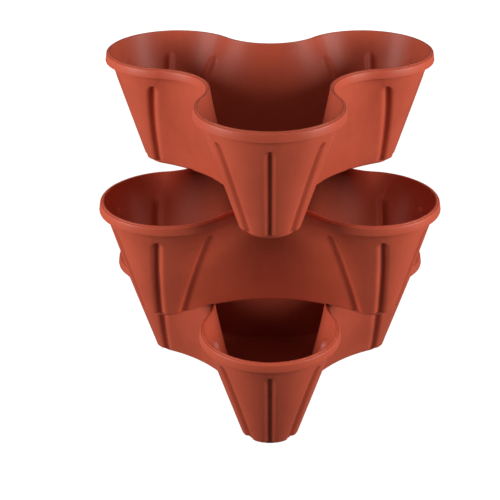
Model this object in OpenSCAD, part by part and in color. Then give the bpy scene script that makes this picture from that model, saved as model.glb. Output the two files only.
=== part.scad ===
// Vertical planter tower: three identical three-lobed pots, stacked one on another.
// Each pot is turned 60 degrees from the one below, so that its lobes hang over the
// waists between the lower pot's lobes. Three pairs of notches in the foot ring drop
// over the lower pot's lip at its waists and keep the stack from sliding or turning.
// The bottom pot stands on its foot ring, +Z is up, the tower's axis is the Z axis,
// and one lobe of the bottom pot points along -Y.

/* [Tower] */
// Colour of the moulded plastic
pot_colour = "#b2543c"; // ["#b2543c":Terracotta, "#3f5d45":Moss green, "#55595c":Slate grey]

/* [Lip outline] */
// Distance from the tower's axis to the centre of each lobe's round end, at the lip
lip_lobe_centre = 115; // [105:0.5:120]
// Outer radius of each lobe at the lip
lip_lobe_radius = 71.9; // [66:0.1:76]
// Radius of the concave waist between two lobes, on the lip's outer face
lip_waist_radius = 55; // [45:0.5:70]

/* [Base outline] */
// Distance from the tower's axis to the centre of each lobe's round end, at the base
base_lobe_centre = 121.5; // [112:0.5:126]
// Outer radius of each lobe at the base
base_lobe_radius = 30; // [27:0.5:34]
// Radius of the concave waist between two lobes, at the base
base_waist_radius = 148; // [120:1:190]

/* [Walls] */
// Height of one pot, from its foot to the top of its lip
pot_height = 120.3; // [95:0.1:150]
// Thickness of the side wall
wall = 2; // [1.6:0.1:2.6]
// Thickness of the floor
floor_thickness = 2.4; // [1.8:0.1:4]

/* [Lip] */
// Width of the lip, from the pot's inner face to the lip's outer face
lip_width = 5.6; // [5.2:0.1:8]
// Height of the lip's outer face
lip_height = 9.4; // [6:0.1:14]
// Thickness of the lip's turned-down skirt and of its top
lip_wall = 1.5; // [1.2:0.1:1.8]
// Rounding of the lip's outer top edge
lip_round = 1.2; // [0.5:0.1:1.3]
// Lean of the lip's outer face, from its lower edge in to its top
lip_draft = 1; // [0.2:0.1:1.1]
// Width of the raised bead along the lip's inner edge
bead_width = 2.4; // [1.8:0.1:2.5]
// Height of the bead over the lip's shoulder
bead_height = 0.8; // [0.4:0.1:1.2]

/* [Flutes] */
// Width of each upright flute pressed into the wall
flute_width = 16.5; // [12:0.5:17]
// Depth of each flute
flute_depth = 4.4; // [2:0.1:5]
// Height of plain wall between the lip's lower edge and the flutes' round tops
flute_gap = 11.5; // [4:0.5:20]
// Height over which each flute's top runs out
flute_end = 8; // [6:0.5:16]

/* [Foot] */
// Height of the foot ring under the floor
foot_height = 4; // [3.6:0.1:6]
// Step from the deepest flute line in to the foot ring
foot_step = 0.8; // [0.4:0.1:2]
// Thickness of the foot ring
foot_wall = 2.4; // [1.8:0.1:3]
// Draft of the foot ring's outer face
foot_draft = 0.5; // [0:0.1:0.8]

/* [Seat] */
// Depth by which a pot's notches drop over the lip below
seat_depth = 3; // [1.5:0.1:3.4]
// Height left between the notches' roofs and the lip that they rest on
seat_gap = 0.3; // [0.1:0.05:0.5]
// Clearance on each side of the lip in the notches
seat_clearance = 0.6; // [0.3:0.05:1]

/* [Drain] */
// Diameter of each drain hole
drain_hole = 7; // [4:0.5:8]
// Distance of the drain holes from the middle of their lobe
drain_circle_radius = 12; // [9:0.5:13]
// Number of drain holes in each lobe
drain_holes = 3; // [2:1:4]

/* [Hidden] */

lobes = 3;
sector = 360 / lobes;
// Azimuth of the bottom pot's first lobe
first_lobe = -90;

// Lip and wall insets, measured from the outside of the wall
lip_reach = lip_width - wall;
skirt_inner = lip_reach - lip_wall;
foot_inset = flute_depth + foot_step;

// Heights of one pot's own levels
floor_top = foot_height + floor_thickness;
flute_top = pot_height - lip_height - flute_gap;
flute_full = flute_top - flute_end;
lip_root = pot_height - bead_height - lip_wall;
shoulder = pot_height - bead_height;

// Rise from one pot to the next
tier_rise = pot_height - seat_depth + seat_gap;

// Flute centres, as shares of the lobe's arc from its tip to the waist
flute_shares = [0, 0.48, 0.96];
// Points across one half of a flute, as shares of its half width
half_flute_shares = [0, 0.5, 1];
// Points across a whole flute, as shares of its half width
whole_flute_shares = [-1, -0.5, 0, 0.5, 1];
// Plain points between two flutes, as shares of the gap
gap_shares = [1 / 3, 2 / 3];
// Points from the last flute to the middle of the waist, as shares of that stretch
waist_shares = [0.28, 0.62, 1];
// Rings up a flute's run-out, as shares of its height
end_shares = [0, 0.7, 1];
// Width of the bead's flat top, as a share of its width
bead_top_share = 0.85;
// Width that a flute still has where it fades out, as a share of its full width
end_width_share = 0.4;

// Overrun of every cut past the face that it starts from
overrun = 1;
$fn = 48;

// A three-lobed outline is [lobe centre, lobe radius, waist radius]. All its insets
// share the same arc centres, so a wall between two of them has one thickness.
function inset_outline(o, inset) = [o[0], o[1] - inset, o[2] + inset];
function mixed(a, b, t) = a + (b - a) * t;

// Distance from the axis to the centre of a waist's arc
function waist_centre(o) = (o[0] + sqrt(4 * pow(o[1] + o[2], 2) - 3 * pow(o[0], 2))) / 2;
// Angle of the lobe's arc from its tip to where the waist's arc takes over
function lobe_angle(o) =
    let (e = waist_centre(o), half = sector / 2)
    atan2(e * sin(half), e * cos(half) - o[0]);

function lobe_length(o) = o[1] * lobe_angle(o) * PI / 180;
function waist_length(o) = o[2] * (lobe_angle(o) - sector / 2) * PI / 180;

// Point and outward normal at a distance s along half a lobe, from its tip, with the
// lobe pointing along +X
function station(o, s) =
    let (arc = lobe_length(o), half = sector / 2, e = waist_centre(o))
    s <= arc
        ? let (a = s / o[1] * 180 / PI, n = [cos(a), sin(a)]) [[o[0], 0] + o[1] * n, n]
        : let (a = lobe_angle(o) - (s - arc) / o[2] * 180 / PI, n = [cos(a), sin(a)])
            [e * [cos(half), sin(half)] - o[2] * n, n];

// Depth of a flute's rounded hollow at a distance x from its centre line
function hollow(x, width, depth) = abs(x) < width / 2 ? depth * pow(cos(180 * x / width), 2) : 0;

// One half of a lobe's outline from its tip to the middle of the waist, with flutes
function half_lobe(o, width, depth) =
    let (
        arc = lobe_length(o),
        whole = arc + waist_length(o),
        h = width / 2,
        c = [for (f = flute_shares) f * arc],
        s = concat(
            [for (f = half_flute_shares) f * h],
            [for (g = gap_shares) mixed(c[0] + h, c[1] - h, g)],
            [for (f = whole_flute_shares) c[1] + f * h],
            [for (g = gap_shares) mixed(c[1] + h, c[2] - h, g)],
            [for (f = whole_flute_shares) c[2] + f * h],
            [for (g = waist_shares) mixed(c[2] + h, whole, g)]
        )
    )
    [for (v = s)
        let (p = station(o, v), d = max([for (k = c) hollow(v - k, width, depth)]))
        p[0] - d * p[1]];

// A full ring of the pot, turned so that its first lobe points along -Y
function ring(z, o, width, depth) =
    let (half = half_lobe(o, width, depth), n = len(half))
    [for (k = [0:lobes - 1])
        let (turn = first_lobe + k * sector)
        for (q = concat(
            [for (i = [n - 2:-1:1]) [half[i][0], -half[i][1]]],
            half))
        [q[0] * cos(turn) - q[1] * sin(turn), q[0] * sin(turn) + q[1] * cos(turn), z]];

// Outside of the wall at the base, under the lip, and at any height between
base_outline = [base_lobe_centre, base_lobe_radius, base_waist_radius];
lip_outline = [lip_lobe_centre, lip_lobe_radius, lip_waist_radius];
wall_top_outline = inset_outline(lip_outline, lip_reach);
function wall_outline(z) =
    mixed(base_outline, wall_top_outline, (z - foot_height) / (lip_root - foot_height));

// Rings of one face of the wall over the height of the flutes' round tops
function flute_end_rings(inset) = [for (t = end_shares)
    let (z = mixed(flute_full, flute_top, t), fade = sqrt(1 - t * t))
    ring(z, inset_outline(wall_outline(z), inset),
        flute_width * max(end_width_share, fade), flute_depth * fade)];

function plain_ring(z, o, inset) = ring(z, inset_outline(o, inset), flute_width, 0);
function fluted_ring(z, inset) =
    ring(z, inset_outline(wall_outline(z), inset), flute_width, flute_depth);
function reversed(list) = [for (i = [len(list) - 1:-1:0]) list[i]];

// Every ring of one pot, from the underside, round the foot ring, up the outside, over
// the lip and down the inside to the floor
rings = concat(
    [
        plain_ring(foot_height, base_outline, foot_inset + foot_wall),
        plain_ring(0, base_outline, foot_inset + foot_wall),
        plain_ring(0, base_outline, foot_inset + foot_draft),
        plain_ring(foot_height, base_outline, foot_inset),
        fluted_ring(foot_height, 0)
    ],
    flute_end_rings(0),
    [
        plain_ring(lip_root, wall_top_outline, 0),
        plain_ring(lip_root, wall_top_outline, lip_draft - skirt_inner),
        plain_ring(pot_height - lip_height, wall_top_outline, -skirt_inner),
        plain_ring(pot_height - lip_height, wall_top_outline, -lip_reach),
        plain_ring(shoulder - lip_round, wall_top_outline, lip_draft - lip_reach),
        plain_ring(shoulder, wall_top_outline, lip_draft + lip_round - lip_reach),
        plain_ring(shoulder, wall_top_outline, wall - bead_width),
        plain_ring(pot_height, wall_top_outline, wall - bead_width * bead_top_share),
        plain_ring(pot_height, wall_top_outline, wall)
    ],
    reversed(flute_end_rings(wall)),
    [
        fluted_ring(floor_top, wall),
        plain_ring(floor_top, base_outline, foot_inset + foot_wall)
    ]
);
ring_size = len(rings[0]);

// Faces of a closed solid whose rings run from one centre point to another
function skin_faces(count, size) =
    let (last = 1 + count * size)
    concat(
        [for (i = [0:size - 1]) [0, 1 + i, 1 + (i + 1) % size]],
        [for (j = [0:count - 2], i = [0:size - 1])
            let (a = 1 + j * size, n = (i + 1) % size)
            each [[a + i, a + size + i, a + size + n], [a + i, a + size + n, a + n]]],
        [for (i = [0:size - 1])
            let (a = last - size)
            [a + i, last, a + (i + 1) % size]]
    );

// The moulded shell: wall, flutes, lip, floor and foot ring as one skin
module shell() {
    points = concat(
        [[0, 0, foot_height]],
        [for (r = rings) each r],
        [[0, 0, floor_top]]
    );
    polyhedron(points, skin_faces(len(rings), ring_size), convexity = 10);
}

// A band that the lip below fills where its waist crosses under this pot. The lower
// pot is turned by half a sector, so its waist lies under this pot's lobe.
module seat_band() {
    translate([waist_centre(lip_outline), 0, -overrun]) difference() {
        cylinder(h = seat_depth + overrun, r = lip_waist_radius + lip_width + seat_clearance);
        translate([0, 0, -overrun])
            cylinder(h = seat_depth + 3 * overrun, r = lip_waist_radius - seat_clearance);
    }
}

// Drain holes through the floor of one lobe
module lobe_drain() {
    for (k = [0:drain_holes - 1])
        translate([base_lobe_centre, 0, 0])
            rotate(k * 360 / drain_holes)
                translate([drain_circle_radius, 0, foot_height - overrun])
                    cylinder(h = floor_thickness + 2 * overrun, d = drain_hole);
}

// One pot, standing on its foot, with its first lobe along -Y
module pot() {
    color(pot_colour) difference() {
        shell();
        for (k = [0:lobes - 1]) rotate(first_lobe + k * sector) {
            seat_band();
            lobe_drain();
        }
    }
}

// A pot in its place in the tower, counted from the bottom
module tier(index) {
    translate([0, 0, index * tier_rise]) rotate(index * sector / 2) pot();
}

module bottom_pot() { tier(0); }
module middle_pot() { tier(1); }
module top_pot() { tier(2); }

bottom_pot();
middle_pot();
top_pot();
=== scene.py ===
"""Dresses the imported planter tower: three finely moulded pots in satin terracotta
plastic, a pale studio floor, soft lights and a camera. All lengths are in metres."""

import math

import bmesh
import bpy
import numpy as np
from bpy.props import (
    FloatProperty,
    FloatVectorProperty,
    IntProperty,
    PointerProperty,
)
from bpy.types import Operator, Panel, PropertyGroup
from mathutils import Matrix, Vector


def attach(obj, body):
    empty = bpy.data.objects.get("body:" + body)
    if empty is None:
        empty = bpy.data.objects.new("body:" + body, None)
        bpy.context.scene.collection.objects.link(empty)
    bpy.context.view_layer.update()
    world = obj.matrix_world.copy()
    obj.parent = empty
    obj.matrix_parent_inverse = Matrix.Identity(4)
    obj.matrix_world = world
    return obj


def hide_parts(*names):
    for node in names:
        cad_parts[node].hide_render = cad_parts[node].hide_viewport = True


bl_info = {
    "name": "Planter Tower",
    "version": (1, 0, 0),
    "blender": (4, 5, 0),
    "location": "View3D > Sidebar > Planter",
    "description": "Stacked three-lobed pots in moulded plastic, with a studio stage",
    "category": "Add Mesh",
}

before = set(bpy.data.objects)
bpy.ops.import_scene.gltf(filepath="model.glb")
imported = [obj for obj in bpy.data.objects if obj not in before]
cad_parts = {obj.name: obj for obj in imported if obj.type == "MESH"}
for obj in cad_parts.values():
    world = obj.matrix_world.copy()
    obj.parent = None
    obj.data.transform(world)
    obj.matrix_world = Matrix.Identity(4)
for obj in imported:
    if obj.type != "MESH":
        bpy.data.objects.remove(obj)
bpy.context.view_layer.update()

LOBES = 3
SECTOR = 2 * math.pi / LOBES
# Azimuth of the first lobe of the bottom pot
FIRST_LOBE = -math.pi / 2
# Each pot's node and body, from the bottom up
TIERS = (("bottom_pot", "bottom"), ("middle_pot", "middle"), ("top_pot", "top"))


class PotSizes(PropertyGroup):
    """Sizes of one moulded pot"""

    lip_lobe_centre: FloatProperty(
        name="Lip lobe centre",
        description="Distance from the axis to the centre of a lobe's round end, at the lip",
        default=0.115, unit="LENGTH")
    lip_lobe_radius: FloatProperty(
        name="Lip lobe radius",
        description="Outer radius of a lobe at the lip",
        default=0.0717, unit="LENGTH")
    lip_waist_radius: FloatProperty(
        name="Lip waist radius",
        description="Radius of the concave waist between two lobes, on the lip's outer face",
        default=0.055, unit="LENGTH")
    base_lobe_centre: FloatProperty(
        name="Base lobe centre",
        description="Distance from the axis to the centre of a lobe's round end, at the base",
        default=0.1215, unit="LENGTH")
    base_lobe_radius: FloatProperty(
        name="Base lobe radius",
        description="Outer radius of a lobe at the base",
        default=0.030, unit="LENGTH")
    base_waist_radius: FloatProperty(
        name="Base waist radius",
        description="Radius of the concave waist between two lobes, at the base",
        default=0.148, unit="LENGTH")
    pot_height: FloatProperty(
        name="Pot height",
        description="Height of one pot, from its foot to the top of its lip",
        default=0.1203, unit="LENGTH")
    wall: FloatProperty(
        name="Wall",
        description="Thickness of the side wall",
        default=0.002, unit="LENGTH")
    floor_thickness: FloatProperty(
        name="Floor",
        description="Thickness of the floor",
        default=0.0024, unit="LENGTH")
    floor_fillet: FloatProperty(
        name="Floor fillet",
        description="Rounding between the wall and the floor, inside",
        default=0.0018, unit="LENGTH")
    lip_width: FloatProperty(
        name="Lip width",
        description="Width of the lip, from the pot's inner face to its outer face",
        default=0.0056, unit="LENGTH")
    lip_height: FloatProperty(
        name="Lip height",
        description="Height of the lip's outer face",
        default=0.0094, unit="LENGTH")
    lip_wall: FloatProperty(
        name="Lip wall",
        description="Thickness of the lip's turned-down skirt",
        default=0.0015, unit="LENGTH")
    lip_draft: FloatProperty(
        name="Lip draft",
        description="How far the lip's outer face leans in from its lower edge to its top",
        default=0.001, unit="LENGTH")
    bead_width: FloatProperty(
        name="Bead width",
        description="Width of the raised bead along the lip's inner edge",
        default=0.0025, unit="LENGTH")
    bead_height: FloatProperty(
        name="Bead height",
        description="Height of the bead over the lip's shoulder",
        default=0.0008, unit="LENGTH")
    flute_width: FloatProperty(
        name="Flute width",
        description="Width of each upright flute with its soft shoulders",
        default=0.0165, unit="LENGTH")
    flute_depth: FloatProperty(
        name="Flute depth",
        description="Depth of each flute",
        default=0.0044, unit="LENGTH")
    flute_core: FloatProperty(
        name="Flute core",
        description="Share of the flute's depth that is in its narrow middle",
        default=0.5, min=0.0, max=1.0, subtype="FACTOR")
    flute_gap: FloatProperty(
        name="Flute gap",
        description="Plain wall between the lip's lower edge and the flutes' round tops",
        default=0.0115, unit="LENGTH")
    flute_end: FloatProperty(
        name="Flute end",
        description="Height over which a flute's round top runs out",
        default=0.008, unit="LENGTH")
    base_edge_round: FloatProperty(
        name="Base edge round",
        description="Rounding of the wall's scalloped bottom edge",
        default=0.0007, unit="LENGTH")
    foot_height: FloatProperty(
        name="Foot height",
        description="Height of the foot ring under the floor",
        default=0.004, unit="LENGTH")
    foot_step: FloatProperty(
        name="Foot step",
        description="Step from the deepest flute line in to the foot ring",
        default=0.0008, unit="LENGTH")
    foot_wall: FloatProperty(
        name="Foot wall",
        description="Thickness of the foot ring",
        default=0.0024, unit="LENGTH")
    foot_draft: FloatProperty(
        name="Foot draft",
        description="Draft of the foot ring's outer face",
        default=0.0005, unit="LENGTH")
    seat_depth: FloatProperty(
        name="Seat depth",
        description="Depth by which a pot's notches drop over the lip below",
        default=0.003, unit="LENGTH")
    seat_gap: FloatProperty(
        name="Seat gap",
        description="Height left between the notches' roofs and the lip below",
        default=0.0003, unit="LENGTH")
    seat_clearance: FloatProperty(
        name="Seat clearance",
        description="Clearance on each side of the lip in the notches",
        default=0.0006, unit="LENGTH")
    drain_hole: FloatProperty(
        name="Drain hole",
        description="Diameter of each drain hole",
        default=0.007, unit="LENGTH")
    drain_circle_radius: FloatProperty(
        name="Drain circle radius",
        description="Distance of the drain holes from the middle of their lobe",
        default=0.012, unit="LENGTH")
    drain_holes: IntProperty(
        name="Drain holes",
        description="Number of drain holes in each lobe",
        default=3, min=0, max=4)


class PlasticLook(PropertyGroup):
    """Colour and finish of the moulded plastic"""

    terracotta: FloatVectorProperty(
        name="Terracotta",
        description="Colour of the plastic",
        default=(0.45, 0.076, 0.038), size=3, subtype="COLOR", min=0.0, max=1.0)
    deep_terracotta: FloatVectorProperty(
        name="Deep terracotta",
        description="Slightly deeper tone that the pigment drifts to",
        default=(0.38, 0.062, 0.031), size=3, subtype="COLOR", min=0.0, max=1.0)
    rubbed: FloatVectorProperty(
        name="Rubbed",
        description="Paler tone of rubbed edges and fine scuffs",
        default=(0.60, 0.20, 0.13), size=3, subtype="COLOR", min=0.0, max=1.0)
    roughness: FloatProperty(
        name="Roughness",
        description="Roughness of the satin surface",
        default=0.46, min=0.0, max=1.0, subtype="FACTOR")
    grain_size: FloatProperty(
        name="Grain size",
        description="Size of the fine moulded grain",
        default=0.0009, unit="LENGTH")
    grain_relief: FloatProperty(
        name="Grain relief",
        description="Height of the fine moulded grain",
        default=0.000012, precision=6, unit="LENGTH")


class StudioLook(PropertyGroup):
    """Stage, lights and camera"""

    paper: FloatVectorProperty(
        name="Paper",
        description="Colour of the studio floor",
        default=(0.12, 0.12, 0.12), size=3, subtype="COLOR", min=0.0, max=1.0)
    paper_glow: FloatProperty(
        name="Paper glow",
        description="Own light of the studio floor",
        default=0.97, min=0.0)
    side_power: FloatProperty(
        name="Side softboxes",
        description="Power of each side softbox",
        default=18.5, unit="POWER")
    top_power: FloatProperty(
        name="Top softbox",
        description="Power of the softbox overhead",
        default=4.0, unit="POWER")
    ambient: FloatProperty(
        name="Ambient",
        description="Strength of the even light from all around",
        default=0.13, min=0.0)
    camera_distance: FloatProperty(
        name="Camera distance",
        description="Distance of the camera in front of the tower's axis",
        default=1.1662, unit="LENGTH")
    camera_height: FloatProperty(
        name="Camera height",
        description="Height of the camera over the floor",
        default=0.7309, unit="LENGTH")
    camera_tilt: FloatProperty(
        name="Camera tilt",
        description="Angle by which the camera looks down",
        default=0.4961, unit="ROTATION")
    lens: FloatProperty(
        name="Lens",
        description="Focal length for a 36 mm wide frame, in millimetres",
        default=86.82, min=10.0)


class Value:
    """A node's output socket. Arithmetic on it adds Math nodes."""

    def __init__(self, nodes, socket):
        self.nodes = nodes
        self.socket = socket

    def math(self, operation, *others):
        return self.nodes.add("ShaderNodeMath", {"operation": operation}, (self,) + others)

    def __add__(self, other):
        return self.math("ADD", other)

    __radd__ = __add__

    def __mul__(self, other):
        return self.math("MULTIPLY", other)

    __rmul__ = __mul__

    def __sub__(self, other):
        return self.math("SUBTRACT", other)

    def __rsub__(self, other):
        return self.nodes.add("ShaderNodeMath", {"operation": "SUBTRACT"}, (other, self))

    def clamped(self):
        return self.nodes.add("ShaderNodeClamp", {}, (self, 0.0, 1.0))

    def rise(self, low, high):
        """0 at low and 1 at high, smoothly"""
        return self.nodes.add(
            "ShaderNodeMapRange", {"interpolation_type": "SMOOTHSTEP"},
            (self, low, high, 0.0, 1.0))


# Places of the Mix node's colour sockets among all its sockets
MIX_FACTOR, MIX_FIRST, MIX_SECOND, MIX_RESULT = 0, 6, 7, 2


class Nodes:
    """The node tree of one material"""

    def __init__(self, material):
        material.use_nodes = True
        self.tree = material.node_tree
        self.tree.nodes.clear()

    def add(self, kind, settings=None, inputs=(), output=0):
        """Adds a node, sets it up and links or sets its sockets, by place or by name"""
        node = self.tree.nodes.new(kind)
        for name, value in (settings or {}).items():
            setattr(node, name, value)
        pairs = inputs.items() if isinstance(inputs, dict) else enumerate(inputs)
        for key, value in pairs:
            if isinstance(value, Value):
                self.tree.links.new(value.socket, node.inputs[key])
            else:
                node.inputs[key].default_value = value
        return Value(self, node.outputs[output]) if node.outputs else None

    def place(self):
        """Position on the piece, which moves with it"""
        return self.add("ShaderNodeTexCoord", output="Object")

    def height(self, place):
        return self.add("ShaderNodeSeparateXYZ", {}, (place,), output="Z")

    def distance(self, place):
        """Distance of a place from the origin"""
        return self.add(
            "ShaderNodeVectorMath", {"operation": "LENGTH"}, (place,), output="Value")

    def scaled(self, vector, by):
        return self.add("ShaderNodeVectorMath", {"operation": "MULTIPLY"}, (vector, by))

    def noise(self, vector, size, detail=2.0, roughness=0.5):
        """Cloudy noise with features of about the given size, 0 to 1"""
        return self.add(
            "ShaderNodeTexNoise", {},
            {"Vector": vector, "Scale": 1 / size, "Detail": detail, "Roughness": roughness},
            output="Fac")

    def blend(self, factor, first, second):
        """Colour that goes from first to second as factor goes from 0 to 1"""
        return self.add(
            "ShaderNodeMix", {"data_type": "RGBA", "clamp_factor": True},
            {MIX_FACTOR: factor, MIX_FIRST: first, MIX_SECOND: second}, output=MIX_RESULT)

    def bump(self, height, distance, below=None):
        """Normal of a relief of the given depth, over that of another relief if there is one"""
        inputs = {"Strength": 1.0, "Distance": distance, "Height": height}
        if below:
            inputs["Normal"] = below
        return self.add("ShaderNodeBump", {}, inputs)

    def finish(self, shader):
        self.add("ShaderNodeOutputMaterial", {}, {"Surface": shader})


def opaque(colour):
    return (*colour[:3], 1.0)


# Sizes of the features in the plastic's patterns
DRIFT_SIZE = 0.045
FLOW_SIZE = 0.006
SPECK_SIZE = 0.0011
WEAR_SIZE = 0.009
HAIR_SIZE = 0.0028
PATCH_SIZE = 0.055
SHEEN_SIZE = 0.02
WAVE_SIZE = 0.03
# Noise levels between which a pattern rises from none to full
DRIFT_RISE = (0.35, 0.68)
FLOW_RISE = (0.4, 0.75)
WEAR_RISE = (0.5, 0.72)
HAIR_RISE = (0.665, 0.70)
PATCH_RISE = (0.56, 0.70)
# Factors along X, Y and Z that draw a pattern out, the smaller the longer
FLOW_STRETCH = (1.0, 1.0, 0.12)
HAIR_STRETCH = (1.0, 0.16, 0.55)
# Parts of the drift, the flow lines and the specks in the deeper tone
DRIFT_SHARE = 0.55
FLOW_SHARE = 0.22
SPECK_SHARE = 0.18
# How strongly the lip's top, the lip's lower edge and the foot are rubbed
LIP_TOP_RUB = 0.45
LIP_LOW_RUB = 0.4
FOOT_RUB = 0.8
# Depths under the lip's top between which its rubbed band starts and is full
LIP_TOP_BAND = (0.0016, 0.0002)
# Distance from the lip's lower edge at which its rubbed band ends
LIP_LOW_BAND = 0.0011
# Heights between which the foot's rubbed band thins out
FOOT_BAND = (0.0002, 0.0012)
RUB_PALENESS = 0.5
SCUFF_STRENGTH = 0.22
# What the sheen's patches, rubbing and scuffs add to the roughness
SHEEN_SPREAD = 0.10
RUB_ROUGHNESS = 0.16
SCUFF_ROUGHNESS = 0.3
# Relief of the slight waviness of a cooled wall
WAVE_RELIEF = 0.0004


def tier_rise(sizes):
    """Height from one pot's foot to the next one's"""
    return sizes.pot_height - sizes.seat_depth + sizes.seat_gap


def moulded_plastic(look, sizes, tier):
    """Satin injection-moulded plastic: drifting pigment, fine grain, rubbed edges"""
    material = bpy.data.materials.new(f"terracotta_plastic_{tier}")
    nodes = Nodes(material)
    place = nodes.place()
    height = nodes.height(place) - tier * tier_rise(sizes)

    # Pigment drifts over the wall and streaks a little along the flow of the melt
    drift = nodes.noise(place, DRIFT_SIZE, detail=3.0).rise(*DRIFT_RISE)
    flow = nodes.noise(nodes.scaled(place, FLOW_STRETCH), FLOW_SIZE).rise(*FLOW_RISE)
    speck = nodes.noise(place, SPECK_SIZE, detail=1.0)
    tone = drift * DRIFT_SHARE + flow * FLOW_SHARE + speck * SPECK_SHARE
    body = nodes.blend(tone.clamped(), opaque(look.terracotta), opaque(look.deep_terracotta))

    # Rubbed places: the lip's top and lower edge, and the foot that slides on the ground
    lip_top = height.rise(*(sizes.pot_height - depth for depth in LIP_TOP_BAND))
    from_low_edge = (height - (sizes.pot_height - sizes.lip_height)).math("ABSOLUTE")
    lip_low = 1 - from_low_edge.rise(0.0, LIP_LOW_BAND)
    foot = 1 - height.rise(*FOOT_BAND)
    worn = nodes.noise(place, WEAR_SIZE, detail=5.0, roughness=0.7).rise(*WEAR_RISE)
    bands = lip_top * LIP_TOP_RUB + lip_low * LIP_LOW_RUB + foot * FOOT_RUB
    rub = (bands * worn).clamped()

    # Hairline scuffs, rare and shallow
    drawn_out = nodes.scaled(place, HAIR_STRETCH)
    hair = nodes.noise(drawn_out, HAIR_SIZE, detail=6.0, roughness=0.75).rise(*HAIR_RISE)
    patch = nodes.noise(place, PATCH_SIZE).rise(*PATCH_RISE)
    scuff = hair * patch * SCUFF_STRENGTH
    pale = (rub * RUB_PALENESS + scuff).clamped()
    colour = nodes.blend(pale, body, opaque(look.rubbed))

    # Satin gloss that changes a little from place to place
    sheen = nodes.noise(place, SHEEN_SIZE, detail=4.0) - 0.5
    roughness = (look.roughness + sheen * SHEEN_SPREAD
                 + rub * RUB_ROUGHNESS + scuff * SCUFF_ROUGHNESS)

    # Fine grain of the mould over the waves of the wall
    grain = nodes.noise(place, look.grain_size, detail=3.0, roughness=0.6)
    wave = nodes.noise(place, WAVE_SIZE, detail=1.0)
    normal = nodes.bump(wave, WAVE_RELIEF, below=nodes.bump(grain, look.grain_relief))

    nodes.finish(nodes.add("ShaderNodeBsdfPrincipled", {}, {
        "Base Color": colour,
        "Roughness": roughness.clamped(),
        "Normal": normal,
        "IOR": 1.49,
        "Specular IOR Level": 0.2,
        "Coat Weight": 0.02,
        "Coat Roughness": 0.22,
    }))
    return material


# Own light of the studio floor at its far end, and the distances over which it gets there
PAPER_GLOW_MOST = 1.2
PAPER_GLOW_RISE = (0.5, 1.8)
FIBRE_SIZE = 0.004
# Brightness of the paper's darker fibres against the rest
FIBRE_SHADE = 0.985
WHITE = (1.0, 1.0, 1.0, 1.0)


def studio_paper(look):
    """Seamless paper with a faint fibre, which glows white"""
    material = bpy.data.materials.new("studio_paper")
    nodes = Nodes(material)
    place = nodes.place()
    fibre = nodes.noise(place, FIBRE_SIZE, detail=3.0)
    darker = [FIBRE_SHADE * c for c in look.paper]
    colour = nodes.blend(fibre, opaque(look.paper), opaque(darker))
    # The far part is lit from behind, so it stays white up to the horizon
    far = nodes.distance(place).rise(*PAPER_GLOW_RISE)
    near_glow = opaque([look.paper_glow / PAPER_GLOW_MOST] * 3)
    nodes.finish(nodes.add("ShaderNodeBsdfPrincipled", {}, {
        "Base Color": colour,
        "Roughness": 0.9,
        "Emission Color": nodes.blend(far, near_glow, WHITE),
        "Emission Strength": PAPER_GLOW_MOST,
    }))
    return material


class Outline:
    """A three-lobed closed line of six arcs: three lobes and the waists between them"""

    def __init__(self, lobe_centre, lobe_radius, waist_radius):
        self.lobe_centre = lobe_centre
        self.lobe_radius = lobe_radius
        self.waist_radius = waist_radius

    def inset(self, by):
        return Outline(self.lobe_centre, self.lobe_radius - by, self.waist_radius + by)

    def toward(self, other, share):
        mine = (self.lobe_centre, self.lobe_radius, self.waist_radius)
        theirs = (other.lobe_centre, other.lobe_radius, other.waist_radius)
        return Outline(*(a + (b - a) * share for a, b in zip(mine, theirs)))

    @property
    def waist_centre(self):
        """Distance from the axis to the centre of a waist's arc"""
        reach = self.lobe_radius + self.waist_radius
        return (self.lobe_centre + math.sqrt(4 * reach**2 - 3 * self.lobe_centre**2)) / 2

    @property
    def lobe_angle(self):
        """Angle of a lobe's arc from its tip to where the waist starts"""
        centre = self.waist_centre
        return math.atan2(centre * math.sin(SECTOR / 2),
                          centre * math.cos(SECTOR / 2) - self.lobe_centre)

    @property
    def lobe_arc(self):
        return self.lobe_radius * self.lobe_angle

    @property
    def half_length(self):
        """Length of half a lobe, from its tip to the middle of the waist"""
        return self.lobe_arc + self.waist_radius * (self.lobe_angle - SECTOR / 2)

    def half_lobe(self, stations):
        """Points and outward normals along half a lobe that points along +X"""
        on_lobe = stations <= self.lobe_arc
        angle = np.where(
            on_lobe, stations / self.lobe_radius,
            self.lobe_angle - (stations - self.lobe_arc) / self.waist_radius)
        normal = np.stack([np.cos(angle), np.sin(angle)], 1)
        lobe = np.array([self.lobe_centre, 0.0]) + self.lobe_radius * normal
        centre = self.waist_centre * np.array([math.cos(SECTOR / 2), math.sin(SECTOR / 2)])
        waist = centre - self.waist_radius * normal
        return np.where(on_lobe[:, None], lobe, waist), normal


def lip_outline(s):
    return Outline(s.lip_lobe_centre, s.lip_lobe_radius, s.lip_waist_radius)


def base_outline(s):
    return Outline(s.base_lobe_centre, s.base_lobe_radius, s.base_waist_radius)


# Flute centres, as shares of the lobe's arc from its tip to the waist
FLUTE_SHARES = (0.0, 0.48, 0.96)
# Half the width of a flute's narrow middle, as a share of the flute's width
CORE_HALF = 0.33
# Points of a ring over half a flute, between two flutes and along half a waist
FLUTE_STEPS = 8
GAP_STEPS = 4
WAIST_STEPS = 15


def stations_of(outline, width):
    """Distances along half a lobe at which a ring has points, and the flutes' centres"""
    half = width / 2
    flutes = [share * outline.lobe_arc for share in FLUTE_SHARES]
    runs = [np.linspace(0, half, FLUTE_STEPS + 1)]
    for before, after in zip(flutes, flutes[1:]):
        runs.append(np.linspace(before + half, after - half, GAP_STEPS + 2)[1:-1])
        runs.append(np.linspace(after - half, after + half, 2 * FLUTE_STEPS + 1))
    runs.append(np.linspace(flutes[-1] + half, outline.half_length, WAIST_STEPS + 1)[1:])
    return np.concatenate(runs), flutes


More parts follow.
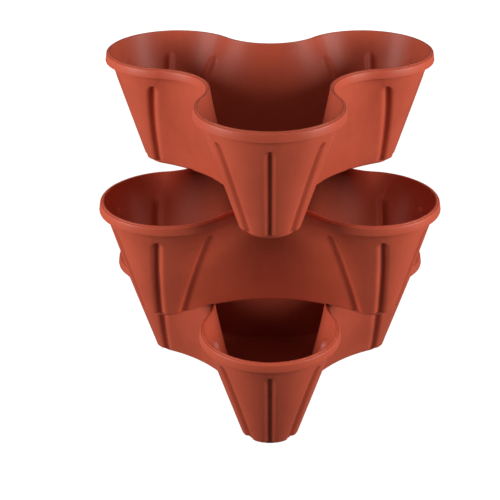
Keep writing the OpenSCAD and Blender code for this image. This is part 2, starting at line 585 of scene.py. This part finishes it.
def dip(away, half_width):
    """1 at the middle of a smooth dip and 0 from its half width on"""
    return np.where(away < half_width, np.cos(math.pi * away / (2 * half_width)) ** 2, 0.0)


def hollow(distance, width, depth, core):
    """Depth of a flute with soft shoulders and a narrower middle"""
    away = np.abs(distance) / width
    return depth * ((1 - core) * dip(away, 0.5) + core * dip(away, CORE_HALF))


def ring(z, outline, width, depth, core):
    """A closed ring of points of the pot, with its first lobe along -Y"""
    stations, flutes = stations_of(outline, width)
    points, normals = outline.half_lobe(stations)
    if depth > 0:
        sunk = np.max([hollow(stations - f, width, depth, core) for f in flutes], axis=0)
        points = points - sunk[:, None] * normals
    lobe = np.concatenate([points[-2:0:-1] * (1, -1), points])
    lobes = [np.stack(turned(lobe[:, 0], lobe[:, 1], FIRST_LOBE + k * SECTOR), 1)
             for k in range(LOBES)]
    flat = np.concatenate(lobes)
    return np.column_stack([flat, np.full(len(flat), z)])


def turned(x, y, angle):
    """A point turned about the axis"""
    return x * math.cos(angle) - y * math.sin(angle), x * math.sin(angle) + y * math.cos(angle)


def quarter(steps):
    """Angles of a quarter turn"""
    return np.linspace(0, math.pi / 2, steps)


# Bevel of the foot ring's lower edges
FOOT_EDGE = 0.0004
# Bevel in the groove's corner: down the wall and out along the groove's roof
GROOVE_BEVEL = (0.0005, 0.0004)
# Bevels of the skirt's inner face: across and along the skirt
SKIRT_BEVEL = (0.0003, 0.0004)
# Rounding of the lip's lower edge
LIP_FOOT_ROUND = 0.0006
# Rounding from the lip's outer face to its shoulder
SHOULDER_ROUND = 0.0017
# Fillet at the bead's foot: down and out
BEAD_FILLET = (0.0001, 0.0003)
# Power of the sine that shapes the bead: under 1 makes it fuller than an ellipse
BEAD_FULLNESS = 0.7
# Depth under the lip's shoulder at which the inner wall is plain
INNER_START = 0.003
# Least width of a flute at its round top, as a share of its full width
NARROWEST_TOP = 0.4
# Rings over each flute's top, each rounding and the fluted wall
FLUTE_TOP_RINGS = 10
BASE_EDGE_RINGS = 5
LIP_FOOT_RINGS = 4
SHOULDER_RINGS = 7
BEAD_RINGS = 9
FILLET_RINGS = 5
WALL_RINGS = 11


class PotRings:
    """Rings of one pot from the underside, round the foot, up the outside, over the lip
    and down the inside to the floor"""

    def __init__(self, sizes):
        s = self.sizes = sizes
        self.reach = s.lip_width - s.wall
        self.base = base_outline(s)
        self.top = lip_outline(s).inset(self.reach)
        self.lip_root = s.pot_height - s.lip_wall
        self.lip_foot = s.pot_height - s.lip_height
        self.shoulder = s.pot_height - s.bead_height
        self.floor_top = s.foot_height + s.floor_thickness
        self.flute_top = self.lip_foot - s.flute_gap
        self.flute_full = self.flute_top - s.flute_end
        self.foot_outer = s.flute_depth + s.foot_step
        self.foot_inner = self.foot_outer + s.foot_wall

    def all(self):
        return [*self.foot(), *self.outer_wall(), *self.groove(), *self.lip(),
                *self.bead(), *self.inside()]

    def wall_at(self, z):
        """Outline of the wall's outer face at a height, without its flutes"""
        low = self.sizes.foot_height
        return self.base.toward(self.top, (z - low) / (self.lip_root - low))

    def plain(self, z, outline, inset):
        return ring(z, outline.inset(inset), self.sizes.flute_width, 0.0, self.sizes.flute_core)

    def plain_wall(self, z, inset):
        return self.plain(z, self.wall_at(z), inset)

    def fluted(self, z, inset, width_share=1.0, depth_share=1.0):
        s = self.sizes
        return ring(z, self.wall_at(z).inset(inset), s.flute_width * width_share,
                    s.flute_depth * depth_share, s.flute_core)

    def flute_tops(self, inset):
        """Rings over which the flutes run out in round tops"""
        made = []
        for t in np.sin(quarter(FLUTE_TOP_RINGS)):
            fade = math.sqrt(max(0.0, 1 - t * t))
            made.append(self.fluted(self.flute_full + t * self.sizes.flute_end, inset,
                                    max(NARROWEST_TOP, fade), fade))
        return made

    def foot(self):
        """Foot ring, with its lower edges bevelled"""
        top = self.sizes.foot_height
        drafted = self.foot_outer + self.sizes.foot_draft
        places = ((top, self.foot_inner), (FOOT_EDGE, self.foot_inner),
                  (0, self.foot_inner - FOOT_EDGE), (0, drafted + FOOT_EDGE),
                  (FOOT_EDGE, drafted), (top, self.foot_outer))
        return [self.plain(z, self.base, inset) for z, inset in places]

    def outer_wall(self):
        """Scalloped bottom edge, the fluted wall and the plain wall over it"""
        low, r = self.sizes.foot_height, self.sizes.base_edge_round
        made = [self.fluted(low + r * (1 - math.cos(a)), r * (1 - math.sin(a)))
                for a in quarter(BASE_EDGE_RINGS)]
        made += [self.fluted(z, 0)
                 for z in np.linspace(low + 3 * r, self.flute_full, WALL_RINGS)[:-1]]
        made += self.flute_tops(0)
        made.append(self.plain_wall((self.flute_top + self.lip_foot) / 2, 0))
        return made

    def groove(self):
        """Open groove behind the lip's skirt"""
        skirt = self.reach - self.sizes.lip_wall
        drafted = skirt - self.sizes.lip_draft
        down, out = GROOVE_BEVEL
        across, along = SKIRT_BEVEL
        places = ((self.lip_root - down, 0), (self.lip_root, out),
                  (self.lip_root, drafted - across), (self.lip_root - along, drafted),
                  (self.lip_foot + along, skirt), (self.lip_foot, skirt + across))
        return [self.plain(z, self.top, -outset) for z, outset in places]

    def lip(self):
        """Outer face of the lip, from its lower edge to its shoulder"""
        r = LIP_FOOT_ROUND
        made = [self.plain(self.lip_foot + r * (1 - math.cos(a)), self.top,
                           -(self.reach - r * (1 - math.sin(a))))
                for a in quarter(LIP_FOOT_RINGS)]
        r = SHOULDER_ROUND
        made += [self.plain(self.shoulder - r * (1 - math.sin(a)), self.top,
                            -(self.reach - self.sizes.lip_draft - r * (1 - math.cos(a))))
                 for a in quarter(SHOULDER_RINGS)]
        return made

    def bead(self):
        """Raised bead along the lip's inner edge"""
        wall, width = self.sizes.wall, self.sizes.bead_width
        down, out = BEAD_FILLET
        made = [self.plain(self.shoulder - down, self.top, -(width - wall + out))]
        for angle in np.linspace(0, math.pi, BEAD_RINGS):
            z = self.shoulder + self.sizes.bead_height * math.sin(angle) ** BEAD_FULLNESS
            made.append(self.plain(z, self.top, wall - width / 2 * (1 + math.cos(angle))))
        return made

    def inside(self):
        """Inner wall, floor fillet and floor"""
        wall, f = self.sizes.wall, self.sizes.floor_fillet
        made = [self.plain_wall(self.shoulder - INNER_START, wall),
                self.plain_wall((self.flute_top + self.lip_root) / 2, wall)]
        made += self.flute_tops(wall)[::-1]
        made += [self.fluted(z, wall)
                 for z in np.linspace(self.flute_full, self.floor_top + f, WALL_RINGS)[1:-1]]
        made += [self.fluted(self.floor_top + f * (1 - math.sin(a)),
                             wall + f * (1 - math.cos(a)))
                 for a in quarter(FILLET_RINGS)]
        made.append(self.plain(self.floor_top, self.base, self.foot_inner))
        return made


def skinned(name, rings, low, high):
    """A closed mesh over rings of equal length, with a point in the middle of each end"""
    count, size = len(rings), len(rings[0])
    points = np.concatenate([[(0, 0, low)], *rings, [(0, 0, high)]])
    pairs = [(i, (i + 1) % size) for i in range(size)]
    faces = [(0, 1 + i, 1 + j) for i, j in pairs]
    for k in range(count - 1):
        a = 1 + k * size
        b = a + size
        faces += [(a + i, b + i, b + j, a + j) for i, j in pairs]
    last = 1 + (count - 1) * size
    faces += [(last + i, len(points) - 1, last + j) for i, j in pairs]
    mesh = bpy.data.meshes.new(name)
    mesh.from_pydata(points.tolist(), [], faces)
    mesh.validate()
    return mesh


def tube(cutter, centre, low, high, inner, outer, steps):
    """Adds a ring-shaped or, with inner 0, a round cutter to a bmesh"""
    angles = [2 * math.pi * k / steps for k in range(steps)]

    def circle(radius, z):
        return [cutter.verts.new((centre[0] + radius * math.cos(a),
                                  centre[1] + radius * math.sin(a), z)) for a in angles]

    out_low, out_high = circle(outer, low), circle(outer, high)
    if inner:
        in_low, in_high = circle(inner, low), circle(inner, high)
    for k in range(steps):
        n = (k + 1) % steps
        cutter.faces.new((out_low[k], out_low[n], out_high[n], out_high[k]))
        if inner:
            cutter.faces.new((in_low[n], in_low[k], in_high[k], in_high[n]))
            cutter.faces.new((out_low[n], out_low[k], in_low[k], in_low[n]))
            cutter.faces.new((out_high[k], out_high[n], in_high[n], in_high[k]))
    if not inner:
        cutter.faces.new(out_low[::-1])
        cutter.faces.new(out_high)


# How far a cutter stands past the faces that it cuts
OVERCUT = 0.001
NOTCH_STEPS = 144
HOLE_STEPS = 40


def pot_cutter(s):
    """Seat notches under the lobes, and the drain holes"""
    lip = lip_outline(s)
    cutter = bmesh.new()
    for k in range(LOBES):
        angle = FIRST_LOBE + k * SECTOR
        tube(cutter, turned(lip.waist_centre, 0, angle), -OVERCUT, s.seat_depth,
             s.lip_waist_radius - s.seat_clearance,
             s.lip_waist_radius + s.lip_width + s.seat_clearance, NOTCH_STEPS)
        for h in range(s.drain_holes):
            around = 2 * math.pi * h / s.drain_holes
            x = s.base_lobe_centre + s.drain_circle_radius * math.cos(around)
            y = s.drain_circle_radius * math.sin(around)
            tube(cutter, turned(x, y, angle), s.foot_height - OVERCUT,
                 s.foot_height + s.floor_thickness + OVERCUT, 0, s.drain_hole / 2, HOLE_STEPS)
    mesh = bpy.data.meshes.new("pot_cutter")
    cutter.to_mesh(mesh)
    cutter.free()
    return mesh


# Fewer faces than this mean that the cut lost the pot
FEWEST_FACES = 10000
# Bend from which an edge is crisp
CRISP_ANGLE = math.radians(38)
# Upright share of a face's normal from which the face is level
LEVEL = 0.9995


def moulded_pot(s):
    """Mesh of one finished pot on its foot, notched and drilled, with crisp edges marked"""
    shell = bpy.data.objects.new("pot_shell", skinned(
        "pot_shell", PotRings(s).all(), s.foot_height, s.foot_height + s.floor_thickness))
    cutter = bpy.data.objects.new("pot_cutter", pot_cutter(s))
    for thing in (shell, cutter):
        bpy.context.scene.collection.objects.link(thing)
    cut = shell.modifiers.new("cut", "BOOLEAN")
    cut.operation = "DIFFERENCE"
    cut.solver = "EXACT"
    cut.object = cutter
    bpy.context.view_layer.update()
    ready = shell.evaluated_get(bpy.context.evaluated_depsgraph_get())
    mesh = bpy.data.meshes.new_from_object(ready)
    for thing in (shell, cutter):
        data = thing.data
        bpy.data.objects.remove(thing)
        bpy.data.meshes.remove(data)
    if len(mesh.polygons) < FEWEST_FACES:
        raise RuntimeError("the pot's mesh was lost while it was cut")
    mesh.shade_smooth()
    mesh.set_sharp_from_angle(angle=CRISP_ANGLE)
    # Level faces stay flat, so the drilled floor takes no shading from the walls
    for face in mesh.polygons:
        if abs(face.normal.z) > LEVEL:
            face.use_smooth = False
    return mesh


class PLANTER_OT_pots(Operator):
    """Mould the pots and stack them, each turned half a sector from the one below"""

    bl_idname = "planter.pots"
    bl_label = "Pots"
    bl_options = {"REGISTER", "UNDO"}

    def execute(self, context):
        sizes = context.scene.planter_pot
        look = context.scene.planter_plastic
        pot = moulded_pot(sizes)
        for tier, (node, body) in enumerate(TIERS):
            mesh = pot.copy()
            mesh.transform(Matrix.Translation((0, 0, tier * tier_rise(sizes)))
                           @ Matrix.Rotation(tier * SECTOR / 2, 4, "Z"))
            mesh.materials.clear()
            mesh.materials.append(moulded_plastic(look, sizes, tier))
            piece = bpy.data.objects.new(f"{node}_moulding", mesh)
            context.scene.collection.objects.link(piece)
            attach(piece, body)
            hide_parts(node)
        bpy.data.meshes.remove(pot)
        return {"FINISHED"}


# Half the width of the studio floor, its squares along a side and its depth under the feet
FLOOR_HALF = 40.0
FLOOR_SQUARES = 40
FLOOR_DROP = 0.0002
# Point near the tower's middle that the softboxes face
LIT_POINT = (0, 0, 0.17)
LEFT_BOX = (-1.13, -0.47, 0.50)
RIGHT_BOX = (1.13, -0.46, 0.50)
TOP_BOX = (0, -0.15, 1.9)
SIDE_BOX_WIDTH = 0.6
TOP_BOX_WIDTH = 1.0
# Width of the camera's frame in millimetres, and the shift of its picture as shares of it
SENSOR_WIDTH = 36.0
LENS_SHIFT = (-0.0399, 0.0824)
NEAREST_SEEN = 0.01


def studio_floor(look):
    """The level sheet under the tower, which is only seen and throws no light on the pots"""
    grid = np.linspace(-FLOOR_HALF, FLOOR_HALF, FLOOR_SQUARES + 1)
    n = len(grid)
    corners = [j * n + i for j in range(FLOOR_SQUARES) for i in range(FLOOR_SQUARES)]
    mesh = bpy.data.meshes.new("studio_floor")
    mesh.from_pydata([(x, y, -FLOOR_DROP) for y in grid for x in grid], [],
                     [(c, c + 1, c + n + 1, c + n) for c in corners])
    mesh.materials.append(studio_paper(look))
    sheet = bpy.data.objects.new("studio_floor", mesh)
    sheet.visible_diffuse = False
    sheet.visible_glossy = False
    return sheet


def softbox(name, place, width, power):
    """A square area light at a place, facing the tower"""
    light = bpy.data.lights.new(name, "AREA")
    light.shape = "RECTANGLE"
    light.size = light.size_y = width
    light.energy = power
    thing = bpy.data.objects.new(name, light)
    thing.location = place
    toward = Vector(LIT_POINT) - Vector(place)
    thing.rotation_euler = toward.to_track_quat("-Z", "Y").to_euler()
    return thing


def front_camera(look):
    lens = bpy.data.cameras.new("camera")
    lens.sensor_fit = "HORIZONTAL"
    lens.sensor_width = SENSOR_WIDTH
    lens.lens = look.lens
    lens.shift_x, lens.shift_y = LENS_SHIFT
    lens.clip_start = NEAREST_SEEN
    camera = bpy.data.objects.new("camera", lens)
    camera.location = (0, -look.camera_distance, look.camera_height)
    camera.rotation_euler = (math.pi / 2 - look.camera_tilt, 0, 0)
    return camera


class PLANTER_OT_studio(Operator):
    """Lay the pale floor and set the softboxes, the even light and the camera"""

    bl_idname = "planter.studio"
    bl_label = "Studio"
    bl_options = {"REGISTER", "UNDO"}

    def execute(self, context):
        look = context.scene.planter_studio
        sheet = studio_floor(look)
        camera = front_camera(look)
        for thing in (sheet, camera,
                      softbox("softbox_left", LEFT_BOX, SIDE_BOX_WIDTH, look.side_power),
                      softbox("softbox_right", RIGHT_BOX, SIDE_BOX_WIDTH, look.side_power),
                      softbox("softbox_top", TOP_BOX, TOP_BOX_WIDTH, look.top_power)):
            context.scene.collection.objects.link(thing)
        context.scene.camera = camera

        world = bpy.data.worlds.new("studio_air")
        world.use_nodes = True
        air = world.node_tree.nodes["Background"]
        air.inputs["Color"].default_value = WHITE
        air.inputs["Strength"].default_value = look.ambient
        context.scene.world = world
        context.scene.view_settings.view_transform = "Standard"
        return {"FINISHED"}


class PLANTER_PT_panel(Panel):
    """Sizes, looks and steps of the planter tower"""

    bl_idname = "PLANTER_PT_panel"
    bl_label = "Planter Tower"
    bl_space_type = "VIEW_3D"
    bl_region_type = "UI"
    bl_category = "Planter"

    def draw(self, context):
        for group in (context.scene.planter_pot, context.scene.planter_plastic,
                      context.scene.planter_studio):
            box = self.layout.box()
            for name in group.__annotations__:
                box.prop(group, name)
        for step in STEPS:
            self.layout.operator(step.bl_idname)


GROUPS = (("planter_pot", PotSizes), ("planter_plastic", PlasticLook),
          ("planter_studio", StudioLook))
STEPS = (PLANTER_OT_studio, PLANTER_OT_pots)


def register():
    for name, group in GROUPS:
        bpy.utils.register_class(group)
        setattr(bpy.types.Scene, name, PointerProperty(type=group))
    for made in STEPS + (PLANTER_PT_panel,):
        bpy.utils.register_class(made)


def unregister():
    for made in reversed(STEPS + (PLANTER_PT_panel,)):
        bpy.utils.unregister_class(made)
    for name, group in reversed(GROUPS):
        delattr(bpy.types.Scene, name)
        bpy.utils.unregister_class(group)


def main():
    register()
    bpy.ops.planter.studio()
    bpy.ops.planter.pots()


if __name__ == "__main__":
    main()
